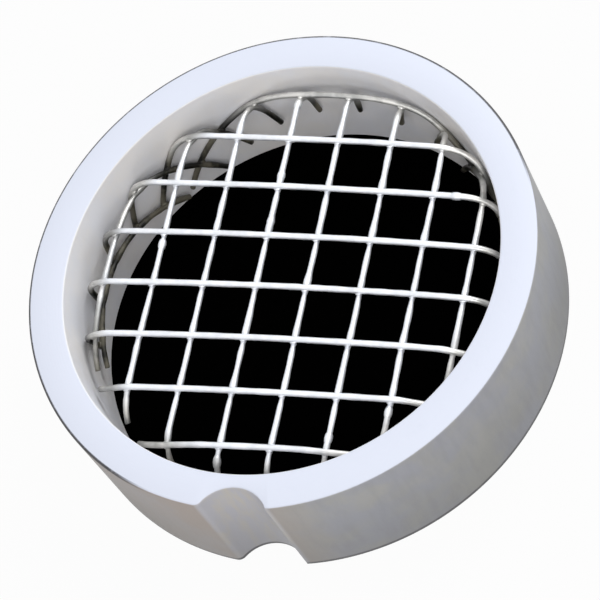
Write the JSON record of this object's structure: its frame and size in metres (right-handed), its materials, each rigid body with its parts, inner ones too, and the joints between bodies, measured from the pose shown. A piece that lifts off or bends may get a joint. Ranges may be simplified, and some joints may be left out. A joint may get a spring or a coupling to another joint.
{
  "type": "pipe vent screen",
  "caption": "Slice of white plastic pipe with a drain notch down its outside and a cup of welded, galvanised wire mesh pressed into its bore, to screen the open end of a vent or flue pipe.",
  "frame": {"origin": "centre of the slice's back face, on the pipe's axis", "axes": "+Z along the pipe's axis from the back face to the front face, which the mesh lies just behind; the drain notch points 225 degrees round from +X towards +Y"},
  "size_m": [0.0602, 0.0602, 0.016],
  "materials": {
    "white_pvc": "satin, with saw-cut and deburred ends and a lightly scuffed outside",
    "zinc_wire": "galvanised after welding, uneven, with a few drops of zinc"
  },
  "bodies": {
    "root": {"pipe_ring": "white_pvc", "wire_screen": "zinc_wire"}
  },
  "joints": []
}
